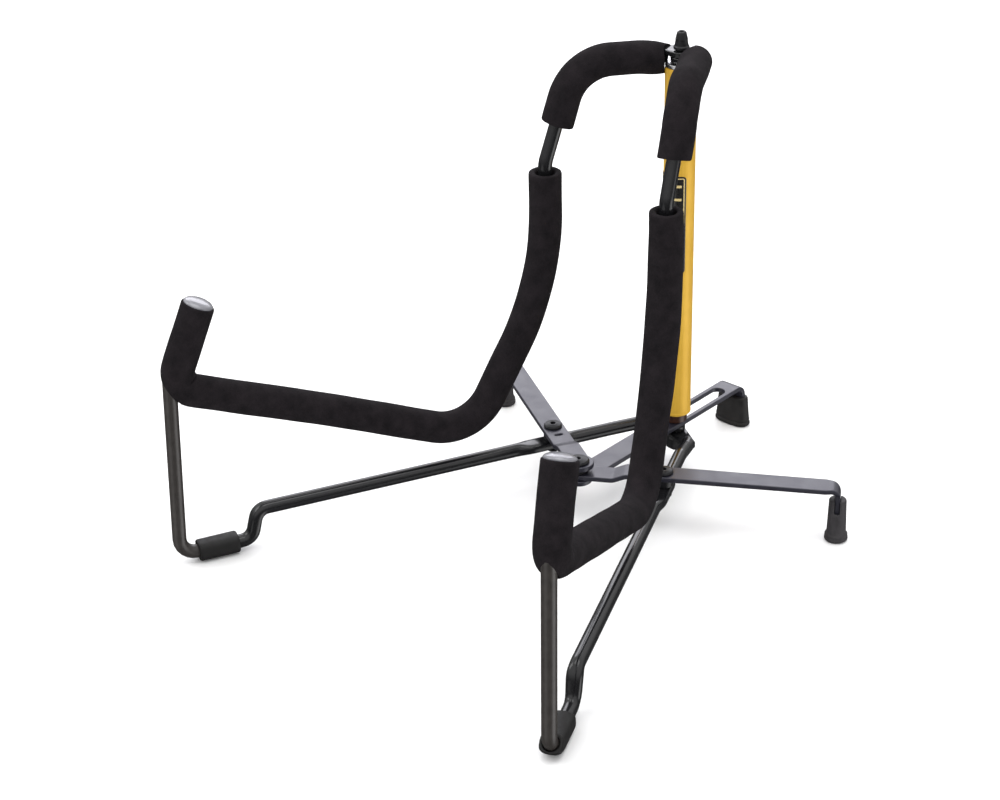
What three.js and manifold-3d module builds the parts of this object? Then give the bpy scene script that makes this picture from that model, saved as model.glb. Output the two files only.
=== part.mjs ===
// Folding mini guitar stand. Millimetres, +Z up, -Y towards the instrument, +X to the right frame.
// Two padded rod frames hinge about the amber column; two rear struts and a slotted slide bar brace them.
// It is modelled open, about the column's axis, then moved so that the origin is under the middle of its box.
import * as THREE from 'three';
import { mergeVertices } from 'three/addons/utils/BufferGeometryUtils.js';
import Module from 'manifold-3d';

const wasm = await Module();
wasm.setup();

const GAP = 0.3; // air left between pieces that touch
const OPEN_ANGLE = THREE.MathUtils.degToRad(24.7); // each frame, from straight ahead
const FRAME_OFFSET = 8.7; // sideways, from the hinge axis to the plane of a frame

const ROD_RADIUS = 3;
const FOAM_RADIUS = 6.9;
const FOAM_BORE = 3.5;
const ROD_SIDES = 8;
const FOAM_SIDES = 12;
const TURNED_SIDES = 16;
const BEND_STEP = THREE.MathUtils.degToRad(21); // at most, between stations of a bend

// Frame profile: r is the distance out from the hinge axis, z the height.
const ARCH_START = 4.5;
const UPPER_FOAM_START = 8;
const ARCH_Z = 191.8;
const ARCH_TOE_IN = 1.6; // the arch leans in at the hub
const ARCH_BULGE = 1.3; // and out at the shoulder
const SHOULDER = [43.4, ARCH_Z, 22]; // with the bend radius
const SIDE_R = 58.6;
const SIDE_TOP_Z = 152.2;
const UPPER_FOAM_END = [52.3, 168.2];
const LOWER_FOAM_TOP = 148.4;
const ROD_JOINT_Z = 138; // hidden inside the lower foam
const CRADLE_BEND = [95.4, 31.9, 21];
const ELBOW = [226.2, 84];
const FINGER_TIP = [212, 118];
const CAP_THICKNESS = 1.6;

const LEG_TOP_R = 226.5;
const LEG_R = 230;
const FOOT_Z = 4.3; // centre of the rod that lies on the floor
const SLEEVE_RADIUS = 4.4;
const SLEEVE_R = [204.5, 221.2];
const ROD_SPLIT_R = 213; // hidden inside the rubber foot
const CRANK_R = 196;
const BASE_Z = 18;
const PAD_R = [49, 71];
const PAD_HEIGHT = 4.4;
const PAD_WIDTH = 8.6;

// Pivot between frame and strut, and the front pivot where struts and slide bar meet.
const STRUT_PIVOT_R = 56.5;
const FRONT_PIVOT_Y = -67;
const STRUT_REACH = 95; // sideways, to the rubber boot
const BAR_THICKNESS = 2.2;
const STRUT_WIDTH = 10;
const TANG_WIDTH = 5; // where a strut turns down into its boot
const TANG_FOOT_Z = 5;
const BOOT_HEIGHT = 19.6;
const SLIDE_BOOT_HEIGHT = 14.5;
const STRUT_Z = 23.8; // underside where it crosses the frame rod
const LOW_STEP_Z = 21.4; // right strut at the front pivot
const HIGH_STEP_Z = 25.8; // left strut at the front pivot
const SLIDE_Z = 18.9;
const SLIDE_WIDTH = 11.5;
const SLIDE_FRONT = 6.2; // nose beyond the front pivot
const SLIDE_REAR_Y = 48;
const SLOT_WIDTH = 6.7;
const SLOT_REAR_Y = 37;

const COLUMN_RADIUS = 6.8;
const COLUMN_BORE = 5.4;
const COLUMN_Z = [25.4, 188.6];
const BOLT_RADIUS = 2;
const LUG_RADIUS = 4.6;
const LUG_THICKNESS = 2.2;

const palette = {
  amber: [0xd9a945, 0.35, 0.1],
  black: [0x101012, 0.3, 0.6],
  satin: [0x2a2a30, 0.4, 0.7],
  leg: [0x37322e, 0.55, 0.4],
  foam: [0x2b2628, 0.95, 0],
  rubber: [0x2e2e2f, 0.8, 0],
  plastic: [0x17171a, 0.45, 0],
  bright: [0xc9c9cf, 0.2, 0.9],
  label: [0x0d0d0f, 0.4, 0],
};

const group = new THREE.Group();
group.name = 'folding_guitar_stand';

function add(name, geometry, finish) {
  const [color, roughness, metalness] = palette[finish];
  const material = new THREE.MeshStandardMaterial({ color, roughness, metalness });
  material.name = finish;
  const mesh = new THREE.Mesh(geometry, material);
  mesh.name = name;
  group.add(mesh);
}

function clean(geometry) {
  const g = geometry.clone();
  g.deleteAttribute('normal');
  g.deleteAttribute('uv');
  return mergeVertices(g, 1e-4);
}

function solid(geometry) {
  const g = clean(geometry);
  return new wasm.Manifold(new wasm.Mesh({
    numProp: 3,
    vertProperties: new Float32Array(g.attributes.position.array),
    triVerts: new Uint32Array(g.index.array),
  }));
}

function fromSolid(body) {
  const mesh = body.getMesh();
  const g = new THREE.BufferGeometry();
  g.setAttribute('position', new THREE.BufferAttribute(new Float32Array(mesh.vertProperties), 3));
  g.setIndex(new THREE.BufferAttribute(new Uint32Array(mesh.triVerts), 1));
  return g;
}

function join(first, ...others) {
  let body = solid(first);
  for (const other of others) {
    body = body.add(solid(other));
  }
  return fromSolid(body);
}

function cut(base, ...tools) {
  let body = solid(base);
  for (const tool of tools) {
    body = body.subtract(solid(tool));
  }
  return fromSolid(body);
}

function common(a, b) {
  return fromSolid(solid(a).intersect(solid(b)));
}

function mirrored(geometry) {
  const g = clean(geometry);
  g.applyMatrix4(new THREE.Matrix4().makeScale(-1, 1, 1));
  const index = g.index.array;
  for (let i = 0; i < index.length; i += 3) {
    [index[i], index[i + 1]] = [index[i + 1], index[i]];
  }
  return g;
}

// Stations of a plane path: straight runs, with a round bend of the given radius at inner corners.
function bentPath(corners) {
  const points = corners.map(([r, z]) => new THREE.Vector2(r, z));
  const stations = [points[0]];
  for (let i = 1; i < points.length - 1; i += 1) {
    const before = points[i].clone().sub(points[i - 1]).normalize();
    const after = points[i + 1].clone().sub(points[i]).normalize();
    const turn = Math.atan2(before.cross(after), before.dot(after));
    const radius = corners[i][2];
    const tangent = radius * Math.tan(Math.abs(turn) / 2);
    const start = points[i].clone().addScaledVector(before, -tangent);
    const side = new THREE.Vector2(-before.y, before.x).multiplyScalar(Math.sign(turn) * radius);
    const centre = start.clone().add(side);
    const steps = Math.max(2, Math.ceil(Math.abs(turn) / BEND_STEP));
    for (let k = 0; k <= steps; k += 1) {
      stations.push(start.clone().rotateAround(centre, (turn * k) / steps));
    }
  }
  stations.push(points[points.length - 1]);
  return stations;
}

// A path that an extrusion samples exactly at its stations.
class StationPath extends THREE.Curve {
  constructor(stations) {
    super();
    this.stations = stations;
  }

  getPoint(t, target = new THREE.Vector3()) {
    const last = this.stations.length - 1;
    const i = Math.min(Math.floor(t * last + 1e-6), last - 1);
    return target.lerpVectors(this.stations[i], this.stations[i + 1], t * last - i);
  }

  getPointAt(u, target) {
    return this.getPoint(u, target);
  }

  getTangentAt(u, target = new THREE.Vector3()) {
    const last = this.stations.length - 1;
    const i = Math.round(u * last);
    const back = this.stations[Math.max(i - 1, 0)];
    const here = this.stations[i];
    const ahead = this.stations[Math.min(i + 1, last)];
    const arriving = here.clone().sub(back).normalize();
    const leaving = ahead.clone().sub(here).normalize();
    return target.copy(arriving).add(leaving).normalize();
  }
}

function ring(radius, segments, bore = 0) {
  const shape = new THREE.Shape();
  const hole = new THREE.Path();
  for (let i = 0; i < segments; i += 1) {
    const a = (2 * Math.PI * i) / segments;
    shape[i ? 'lineTo' : 'moveTo'](radius * Math.cos(a), radius * Math.sin(a));
    hole[i ? 'lineTo' : 'moveTo'](bore * Math.cos(a), bore * Math.sin(a));
  }
  if (bore) {
    shape.holes.push(hole);
  }
  return shape;
}

// From a frame's own directions (r out, n sideways, z up) to the open stand, right side.
function placed(r, n, z) {
  const s = Math.sin(OPEN_ANGLE);
  const c = Math.cos(OPEN_ANGLE);
  return new THREE.Vector3(r * s + n * c, -r * c + n * s, z);
}

// Distance of a frame's rod from the radial plane through the hinge axis.
function sideways(r, z) {
  const { clamp } = THREE.MathUtils;
  const arch = clamp((z - SIDE_TOP_Z) / (ARCH_Z - 12 - SIDE_TOP_Z), 0, 1);
  const lean = clamp((r - ARCH_START) / (SHOULDER[0] - ARCH_START), 0, 1);
  return FRAME_OFFSET + arch * (lean * (ARCH_BULGE + ARCH_TOE_IN) - ARCH_TOE_IN);
}

function tube(corners, shape) {
  const stations = bentPath(corners).map((p) => placed(p.x, sideways(p.x, p.y), p.y));
  return new THREE.ExtrudeGeometry(shape, {
    steps: stations.length - 1,
    extrudePath: new StationPath(stations),
    bevelEnabled: false,
  });
}

// Solid turned about a vertical axis; the profile runs from bottom to top.
function turned(profile, x = 0, y = 0, segments = TURNED_SIDES) {
  const g = new THREE.LatheGeometry(profile.map(([r, z]) => new THREE.Vector2(r, z)), segments);
  g.rotateX(Math.PI / 2);
  g.translate(x, y, 0);
  return g;
}

function disc(radius, low, high, x = 0, y = 0) {
  return turned([[0, low], [radius, low], [radius, high], [0, high]], x, y);
}

function washer(bore, radius, low, high, x = 0, y = 0) {
  return turned([[bore, low], [radius, low], [radius, high], [bore, high], [bore, low]], x, y);
}

function plate(shape, low, high) {
  const g = new THREE.ExtrudeGeometry(shape, { depth: high - low, bevelEnabled: false, curveSegments: 6 });
  g.translate(0, 0, low);
  return g;
}

function box(size, centre) {
  const g = new THREE.BoxGeometry(...size);
  g.translate(...centre);
  return g;
}

// Straight belt around two circles, both on the frame's (r, n) plan.
function lugPlate(reachR, low, high) {
  const far = new THREE.Vector2(reachR, sideways(reachR, low));
  const span = far.length();
  const lean = Math.acos((LUG_RADIUS - ROD_RADIUS) / span);
  const shape = new THREE.Shape();
  shape.absarc(0, 0, LUG_RADIUS, lean, 2 * Math.PI - lean, false);
  shape.absarc(span, 0, ROD_RADIUS, -lean, lean, false);
  const g = plate(shape, low, high);
  g.rotateZ(far.angle());
  const basis = new THREE.Matrix4().makeBasis(placed(1, 0, 0), placed(0, 1, 0), new THREE.Vector3(0, 0, 1));
  g.applyMatrix4(basis);
  return g;
}

function yokeRod(lugLow) {
  const arch = tube([
    [ARCH_START, ARCH_Z],
    SHOULDER,
    [SIDE_R, SIDE_TOP_Z, 12],
    [SIDE_R, ROD_JOINT_Z],
  ], ring(ROD_RADIUS, ROD_SIDES));
  const lug = lugPlate(ARCH_START, lugLow, lugLow + LUG_THICKNESS);
  return cut(join(arch, lug), disc(BOLT_RADIUS + GAP, 180, 200));
}

function cradlePath(topZ) {
  return [
    [SIDE_R, topZ],
    [SIDE_R, 100.2, 130],
    CRADLE_BEND,
    [...ELBOW, 9],
    FINGER_TIP,
  ];
}

function cradleRod() {
  return tube(cradlePath(ROD_JOINT_Z - GAP), ring(ROD_RADIUS, ROD_SIDES));
}

function lowerFoam() {
  const foam = tube(cradlePath(LOWER_FOAM_TOP), ring(FOAM_RADIUS, FOAM_SIDES, FOAM_BORE));
  const notch = new THREE.Shape();
  notch.moveTo(-5.2, 70);
  notch.lineTo(5.2, 70);
  notch.lineTo(3.6, 82);
  notch.lineTo(-3.6, 82);
  notch.closePath();
  const wedge = new THREE.ExtrudeGeometry(notch, { depth: 12, bevelEnabled: false });
  const across = placed(0, 1, 0);
  const inward = placed(-1, 0, 0);
  const basis = new THREE.Matrix4().makeBasis(across, new THREE.Vector3(0, 0, 1), inward.clone().negate());
  basis.setPosition(placed(LEG_TOP_R - 4.2, FRAME_OFFSET, 0));
  wedge.applyMatrix4(basis);
  return cut(foam, wedge);
}

function upperFoam() {
  return tube([
    [UPPER_FOAM_START, ARCH_Z],
    SHOULDER,
    UPPER_FOAM_END,
  ], ring(FOAM_RADIUS, FOAM_SIDES, FOAM_BORE));
}

function fingerCap() {
  const [r, z] = FINGER_TIP;
  const lean = Math.atan2(FINGER_TIP[0] - ELBOW[0], FINGER_TIP[1] - ELBOW[1]);
  const g = turned([
    [0, GAP],
    [6.3, GAP],
    [6.3, 0.9],
    [4.6, 1.6 + CAP_THICKNESS / 2],
    [0, 1.3 + CAP_THICKNESS],
  ], 0, 0, 18);
  const up = placed(Math.sin(lean), 0, Math.cos(lean));
  const out = placed(Math.cos(lean), 0, -Math.sin(lean));
  const across = new THREE.Vector3().crossVectors(up, out);
  const basis = new THREE.Matrix4().makeBasis(out, across, up);
  basis.setPosition(placed(r, FRAME_OFFSET, z));
  g.applyMatrix4(basis);
  return g;
}

function legRod() {
  return tube([
    [LEG_TOP_R, 80.4],
    [LEG_R, FOOT_Z, 7.4],
    [ROD_SPLIT_R + GAP, FOOT_Z],
  ], ring(ROD_RADIUS, ROD_SIDES));
}

// Rubber tube on the rod where it lies on the floor, worn flat underneath.
function footSleeve() {
  const g = new THREE.ExtrudeGeometry(ring(SLEEVE_RADIUS, 16, ROD_RADIUS + GAP), {
    depth: SLEEVE_R[1] - SLEEVE_R[0],
    bevelEnabled: false,
  });
  const basis = new THREE.Matrix4().makeBasis(placed(0, 1, 0), new THREE.Vector3(0, 0, 1), placed(1, 0, 0));
  basis.setPosition(placed(SLEEVE_R[0], FRAME_OFFSET, FOOT_Z));
  g.applyMatrix4(basis);
  const middle = placed(SLEEVE_R[0], FRAME_OFFSET, -5);
  return cut(g, box([80, 80, 10], [middle.x, middle.y, middle.z]));
}

function rivetPad() {
  const half = (PAD_R[1] - PAD_R[0]) / 2;
  const wide = PAD_WIDTH / 2;
  const shape = new THREE.Shape();
  shape.moveTo(-half - 2, -2.4);
  shape.bezierCurveTo(-half + 4, -2.4, -half + 4, -wide, 0, -wide);
  shape.bezierCurveTo(half - 4, -wide, half - 4, -2.4, half + 2, -2.4);
  shape.lineTo(half + 2, 2.4);
  shape.bezierCurveTo(half - 4, 2.4, half - 4, wide, 0, wide);
  shape.bezierCurveTo(-half + 4, wide, -half + 4, 2.4, -half - 2, 2.4);
  shape.closePath();
  const g = plate(shape, BASE_Z - PAD_HEIGHT / 2, BASE_Z + PAD_HEIGHT / 2);
  const basis = new THREE.Matrix4().makeBasis(placed(1, 0, 0), placed(0, 1, 0), new THREE.Vector3(0, 0, 1));
  basis.setPosition(placed((PAD_R[0] + PAD_R[1]) / 2, FRAME_OFFSET, 0));
  g.applyMatrix4(basis);
  return g;
}

function baseRod(lugLow) {
  const lugMiddle = lugLow + LUG_THICKNESS / 2;
  const outer = tube([
    [ROD_SPLIT_R, FOOT_Z],
    [CRANK_R + 2, FOOT_Z, 5.5],
    [CRANK_R - 1.4, BASE_Z, 5.5],
    [PAD_R[1], BASE_Z],
  ], ring(ROD_RADIUS, ROD_SIDES));
  const inner = tube([
    [PAD_R[0], BASE_Z],
    [26.5, BASE_Z, 12],
    [14, lugMiddle + 0.4, 8],
    [10.5, lugMiddle + 0.4],
  ], ring(ROD_RADIUS, ROD_SIDES));
  const lug = lugPlate(11, lugLow, lugLow + LUG_THICKNESS);
  const pivot = placed(STRUT_PIVOT_R, FRAME_OFFSET, 0);
  return cut(
    join(outer, inner, rivetPad(), lug),
    disc(BOLT_RADIUS + GAP, 5, 30),
    disc(BOLT_RADIUS + GAP, 5, 30, pivot.x, pivot.y),
  );
}

function strutRivet() {
  const { x, y } = placed(STRUT_PIVOT_R, FRAME_OFFSET, 0);
  const top = STRUT_Z + BAR_THICKNESS + GAP;
  const bottom = BASE_Z - PAD_HEIGHT / 2 - GAP;
  return turned([
    [0, bottom - 1.4],
    [2.8, bottom - 1.4],
    [3.6, bottom - 0.6],
    [3.6, bottom],
    [BOLT_RADIUS, bottom],
    [BOLT_RADIUS, top],
    [4.1, top],
    [3.8, top + 0.7],
    [2, top + 1.4],
    [0, top + 1.4],
  ], x, y);
}

function strutSpacer() {
  const { x, y } = placed(STRUT_PIVOT_R, FRAME_OFFSET, 0);
  return washer(BOLT_RADIUS + GAP, 4.2, BASE_Z + PAD_HEIGHT / 2 + GAP, STRUT_Z - GAP, x, y);
}

// Flat strap seen from the side: an even thickness above a bottom line of (s, z) corners.
function strapSide(corners, thickness) {
  const line = bentPath(corners);
  const upper = [];
  const lower = [];
  for (let i = 0; i < line.length; i += 1) {
    const back = line[Math.max(i - 1, 0)];
    const ahead = line[Math.min(i + 1, line.length - 1)];
    const along = ahead.clone().sub(back).normalize();
    const normal = new THREE.Vector2(-along.y, along.x);
    upper.push(line[i].clone().addScaledVector(normal, thickness / 2));
    lower.push(line[i].clone().addScaledVector(normal, -thickness / 2));
  }
  return new THREE.Shape([...lower, ...upper.reverse()]);
}

// Strap with a rounded nose at s = -nose, laid along +X and centred on y = 0; its far end narrows to a tang.
function strap(corners, width, nose, noseRadius, tangStart, tangWidth) {
  const side = new THREE.ExtrudeGeometry(strapSide(corners, BAR_THICKNESS), {
    depth: 30,
    bevelEnabled: false,
  });
  side.rotateX(Math.PI / 2);
  side.translate(0, 15, 0);
  const half = width / 2;
  const far = corners[corners.length - 1][0] + 20;
  const taper = width - tangWidth;
  const plan = new THREE.Shape();
  const join0 = Math.asin(half / noseRadius);
  plan.moveTo(far, -tangWidth / 2);
  plan.lineTo(far, tangWidth / 2);
  plan.lineTo(tangStart + taper, tangWidth / 2);
  plan.lineTo(tangStart, half);
  plan.lineTo(noseRadius * Math.cos(join0), half);
  plan.absarc(noseRadius - nose, 0, noseRadius, join0, 2 * Math.PI - join0, false);
  plan.lineTo(tangStart, -half);
  plan.lineTo(tangStart + taper, -tangWidth / 2);
  plan.closePath();
  return common(side, plate(plan, -5, 40));
}

const frontPivot = new THREE.Vector2(0, FRONT_PIVOT_Y);
const pivotAt = placed(STRUT_PIVOT_R, FRAME_OFFSET, 0);
const strutLine = new THREE.Vector2(pivotAt.x, pivotAt.y).sub(frontPivot);
const strutAngle = strutLine.angle();
const strutPivotS = strutLine.length();
const strutEndS = STRUT_REACH / Math.cos(strutAngle);

function alongStrut(geometry) {
  geometry.rotateZ(strutAngle);
  geometry.translate(0, FRONT_PIVOT_Y, 0);
  return geometry;
}

function strut(stepZ, eyeRadius, eyeBore) {
  const half = BAR_THICKNESS / 2;
  const bar = strap([
    [-7, stepZ + half],
    [15.5, stepZ + half, 4],
    [21, STRUT_Z + half, 4],
    [strutEndS, STRUT_Z + half, 3],
    [strutEndS, TANG_FOOT_Z],
  ], STRUT_WIDTH, eyeRadius, eyeRadius, strutEndS - 8, TANG_WIDTH);
  const holed = cut(
    bar,
    disc(eyeBore, 10, 40),
    disc(BOLT_RADIUS + GAP, 10, 40, strutPivotS, 0),
  );
  return alongStrut(holed);
}

function roundedOutline(length, width, radius) {
  const a = length / 2;
  const b = width / 2;
  const shape = new THREE.Shape();
  shape.moveTo(-a + radius, -b);
  shape.lineTo(a - radius, -b);
  shape.absarc(a - radius, -b + radius, radius, -Math.PI / 2, 0, false);
  shape.absarc(a - radius, b - radius, radius, 0, Math.PI / 2, false);
  shape.absarc(-a + radius, b - radius, radius, Math.PI / 2, Math.PI, false);
  shape.absarc(-a + radius, -b + radius, radius, Math.PI, 1.5 * Math.PI, false);
  shape.closePath();
  return shape;
}

// Rubber tip over a turned-down bar end: the bar stands in a pocket, and a slit opens the top.
function boot(body, base, height, tangWidth, slitDepth) {
  const room = BAR_THICKNESS + 2 * GAP;
  const pocket = box([room, tangWidth + 2 * GAP, height], [0, 0, TANG_FOOT_Z - GAP + height / 2]);
  const slit = box([room, 30, slitDepth], [0, 0, height - slitDepth / 2 + 0.01]);
  return cut(join(body, base), pocket, slit);
}

function strutBoot() {
  const body = turned([[0, 0], [4.2, 0], [3.7, BOOT_HEIGHT], [0, BOOT_HEIGHT]]);
  const base = turned([[0, 0], [5, 0], [5, 2.4], [4.4, 3.2], [0, 3.2]]);
  const g = boot(body, base, BOOT_HEIGHT, TANG_WIDTH, 6);
  g.translate(strutEndS, 0, 0);
  return alongStrut(g);
}

function slideBar() {
  const half = BAR_THICKNESS / 2;
  const rear = SLIDE_REAR_Y - FRONT_PIVOT_Y - half;
  const bar = strap([
    [-8, SLIDE_Z + half],
    [rear, SLIDE_Z + half, 3.2],
    [rear, TANG_FOOT_Z],
  ], SLIDE_WIDTH, SLIDE_FRONT, SLIDE_FRONT, rear - 6, SLIDE_WIDTH - 1);
  const slotHalf = SLOT_WIDTH / 2;
  const slotFront = -FRONT_PIVOT_Y + 1.2;
  const slotRear = SLOT_REAR_Y - FRONT_PIVOT_Y - slotHalf;
  const slot = new THREE.Shape();
  slot.moveTo(slotFront, -slotHalf);
  slot.lineTo(slotRear, -slotHalf);
  slot.absarc(slotRear, 0, slotHalf, -Math.PI / 2, Math.PI / 2, false);
  slot.lineTo(slotFront, slotHalf);
  slot.absarc(slotFront, 0, slotHalf, Math.PI / 2, 1.5 * Math.PI, false);
  const g = cut(bar, plate(slot, 10, 30), disc(1.8, 10, 30));
  g.rotateZ(Math.PI / 2);
  g.translate(0, FRONT_PIVOT_Y, 0);
  return g;
}

function slideBoot() {
  const body = plate(roundedOutline(7, 13.8, 3), 0, SLIDE_BOOT_HEIGHT);
  const base = plate(roundedOutline(9, 16, 4), 0, 3);
  const g = boot(body, base, SLIDE_BOOT_HEIGHT, SLIDE_WIDTH, 2.5);
  g.rotateZ(Math.PI / 2);
  g.translate(0, SLIDE_REAR_Y - BAR_THICKNESS / 2, 0);
  return g;
}

function frontPin() {
  const bottom = SLIDE_Z - GAP;
  const top = HIGH_STEP_Z + BAR_THICKNESS + GAP;
  return turned([
    [0, bottom - 1.3],
    [3.2, bottom - 1.3],
    [4, bottom - 0.5],
    [4, bottom],
    [1.5, bottom],
    [1.5, top],
    [4.9, top],
    [4.5, top + 0.7],
    [2.4, top + 1.4],
    [0, top + 1.4],
  ], 0, FRONT_PIVOT_Y);
}

function addColumn() {
  const [low, high] = COLUMN_Z;
  const wallTop = high - 0.8;
  add('column_tube', turned([
    [COLUMN_BORE, low],
    [COLUMN_RADIUS - 0.8, low],
    [COLUMN_RADIUS, low + 0.8],
    [COLUMN_RADIUS, wallTop],
    [COLUMN_RADIUS - 0.8, high],
    [COLUMN_BORE, high],
    [COLUMN_BORE, low],
  ], 0, 0, 24), 'amber');

  const label = new THREE.Shape();
  const spread = THREE.MathUtils.degToRad(70);
  label.absarc(0, 0, COLUMN_RADIUS + 0.55, -Math.PI / 2 - spread, -Math.PI / 2 + spread, false);
  label.absarc(0, 0, COLUMN_RADIUS + 0.15, -Math.PI / 2 + spread, -Math.PI / 2 - spread, true);
  label.closePath();
  const sleeve = new THREE.ExtrudeGeometry(label, { depth: 45, bevelEnabled: false, curveSegments: 10 });
  sleeve.translate(0, 0, 96.5);
  add('column_label', sleeve, 'label');

  const plugWall = COLUMN_BORE - GAP;
  const boltRoom = BOLT_RADIUS + GAP;
  add('upper_plug', turned([
    [boltRoom, high - 12],
    [plugWall, high - 12],
    [plugWall, high + GAP],
    [COLUMN_RADIUS, high + GAP],
    [COLUMN_RADIUS, high + 1.8],
    [boltRoom, high + 1.8],
    [boltRoom, high - 12],
  ]), 'bright');
  add('lower_plug', turned([
    [boltRoom, low + 0.2],
    [plugWall, low + 0.2],
    [plugWall, low + 12],
    [boltRoom, low + 12],
    [boltRoom, low + 0.2],
  ]), 'plastic');

  const upperLug = high + 1.8 + GAP;
  const capLow = upperLug + 2 * LUG_THICKNESS + 2 * GAP;
  add('upper_hinge_pin', turned([
    [0, high - 14],
    [3.4, high - 14],
    [3.4, high - 12 - GAP],
    [BOLT_RADIUS, high - 12 - GAP],
    [BOLT_RADIUS, capLow + 3.4],
    [0, capLow + 3.4],
  ], 0, 0, 12), 'black');
  add('top_cap', turned([
    [boltRoom, capLow],
    [3.5, capLow],
    [3.6, capLow + 1],
    [2.5, capLow + 7],
    [1.9, capLow + 7.6],
    [1.1, capLow + 7.6],
    [1.1, capLow + 6.2],
    [0, capLow + 6.2],
    [0, capLow + 3.7],
    [boltRoom, capLow + 3.7],
    [boltRoom, capLow],
  ]), 'plastic');

  const nut = new THREE.Shape();
  for (let i = 0; i < 6; i += 1) {
    const a = (Math.PI * i) / 3;
    nut[i ? 'lineTo' : 'moveTo'](4.04 * Math.cos(a), 4.04 * Math.sin(a));
  }
  nut.closePath();
  const nutHole = new THREE.Path();
  nutHole.absarc(0, 0, BOLT_RADIUS + 0.15, 0, 2 * Math.PI, false);
  nut.holes.push(nutHole);
  const lowerLug = SLIDE_Z - 2 * GAP - 0.1 - 2 * LUG_THICKNESS;
  add('hub_nut', plate(nut, lowerLug - 6.8, lowerLug - 1.8), 'black');
  add('hub_washer', washer(boltRoom, 4.6, lowerLug - 1.5, lowerLug - GAP), 'satin');
  add('hub_collar', washer(boltRoom, 5, SLIDE_Z + BAR_THICKNESS + GAP, low - GAP / 2), 'plastic');
  add('hub_bolt', turned([
    [0, lowerLug - 8.2],
    [BOLT_RADIUS - 0.4, lowerLug - 8.2],
    [BOLT_RADIUS, lowerLug - 7.8],
    [BOLT_RADIUS, low + 12 + GAP],
    [3.6, low + 12 + GAP],
    [3.6, low + 14.5],
    [0, low + 14.5],
  ], 0, 0, 12), 'black');
  return { upperLug, lowerLug };
}

function addFrames({ upperLug, lowerLug }) {
  const step = LUG_THICKNESS + GAP;
  const pieces = [
    ['yoke_rod', (level) => yokeRod(upperLug + level * step), 'black'],
    ['cradle_rod', cradleRod, 'black'],
    ['upper_foam', upperFoam, 'foam'],
    ['lower_foam', lowerFoam, 'foam'],
    ['finger_cap', fingerCap, 'bright'],
    ['leg_rod', legRod, 'leg'],
    ['foot_sleeve', footSleeve, 'rubber'],
    ['base_rod', (level) => baseRod(lowerLug + level * step), 'black'],
    ['strut_rivet', strutRivet, 'satin'],
    ['strut_spacer', strutSpacer, 'plastic'],
  ];
  for (const [name, make, finish] of pieces) {
    add(`right_${name}`, make(0), finish);
    add(`left_${name}`, mirrored(make(1)), finish);
  }
}

function addBraces() {
  add('right_strut', strut(LOW_STEP_Z, 5.4, 1.8), 'satin');
  add('right_boot', strutBoot(), 'rubber');
  add('front_pin', frontPin(), 'black');
  const spacerLow = LOW_STEP_Z + BAR_THICKNESS + GAP;
  add('front_spacer', washer(1.8, 4.6, spacerLow, HIGH_STEP_Z - GAP, 0, FRONT_PIVOT_Y), 'plastic');
  add('left_strut', mirrored(strut(HIGH_STEP_Z, 6.2, 3.7)), 'satin');
  add('left_boot', mirrored(strutBoot()), 'rubber');
  add('slide_bar', slideBar(), 'satin');
  add('slide_boot', slideBoot(), 'rubber');
}

addFrames(addColumn());
addBraces();

const bounds = new THREE.Box3().setFromObject(group);
const middle = bounds.getCenter(new THREE.Vector3());
for (const mesh of group.children) {
  mesh.geometry.translate(-middle.x, -middle.y, -bounds.min.z);
}

export default group;
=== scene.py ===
"""Folding mini guitar stand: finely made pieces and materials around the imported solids.

Lengths in the tables below are millimetres; place() and mm() turn them into metres in the row frame.
Plan directions follow the solids: r runs out along a frame, n sideways from the hinge axis, z up.
"""
import math
import random

import bmesh
import bpy
from mathutils import Matrix, Vector


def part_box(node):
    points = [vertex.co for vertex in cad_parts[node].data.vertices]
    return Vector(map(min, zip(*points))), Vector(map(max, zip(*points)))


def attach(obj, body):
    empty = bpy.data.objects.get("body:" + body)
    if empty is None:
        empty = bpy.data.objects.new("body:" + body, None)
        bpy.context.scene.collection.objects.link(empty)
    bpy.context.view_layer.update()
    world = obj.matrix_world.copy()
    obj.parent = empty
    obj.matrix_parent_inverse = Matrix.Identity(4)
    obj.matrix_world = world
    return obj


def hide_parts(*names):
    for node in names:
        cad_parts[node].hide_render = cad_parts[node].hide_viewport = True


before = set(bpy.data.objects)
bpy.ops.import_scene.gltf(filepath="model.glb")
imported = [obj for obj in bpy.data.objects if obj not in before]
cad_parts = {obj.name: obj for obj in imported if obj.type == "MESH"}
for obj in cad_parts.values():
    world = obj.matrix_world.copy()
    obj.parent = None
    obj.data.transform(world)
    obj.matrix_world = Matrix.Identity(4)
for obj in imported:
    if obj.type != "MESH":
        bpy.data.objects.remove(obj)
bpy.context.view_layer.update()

MM = 0.001
SIDES = ("right", "left")
SIGN = {"right": 1, "left": -1}

# Frame wires, as in the solids: places along a frame are (r, z), and a third number is a bend's radius.
OPEN_ANGLE = {"right": math.radians(24.88), "left": math.radians(24.7)}
FRAME_OFFSET = 8.7
ROD_RADIUS = 3.0
ARCH_START = 4.5
ARCH_Z = 191.5
ARCH_TOE_IN = 1.6
ARCH_BULGE = 2.2
LEAN_FULL_Z = ARCH_Z - 12
SHOULDER = (43.3, 193.5, 20.5)
SIDE_R = 58.6
SIDE_TOP = (SIDE_R, 152.2, 12)
SIDE_BOW = (SIDE_R, 98.4, 130)
CRADLE_BEND = (95.4, 32, 21)
CRADLE_SAG = {"right": -1.3, "left": -0.3}
ARM_BOW = {"right": 0.0, "left": 0.9}
ARM_BOW_RADIUS = 400
ELBOW = (225.9, 83.8, 9)
FINGER_TIP = (211.7, 118.4)
LEG_TOP = (226.6, 87.5)
LEG_R = 229.7
LEG_BEND = 7.4
FOOT_Z = 4.3
ROD_SPLIT_R = 213
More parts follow.
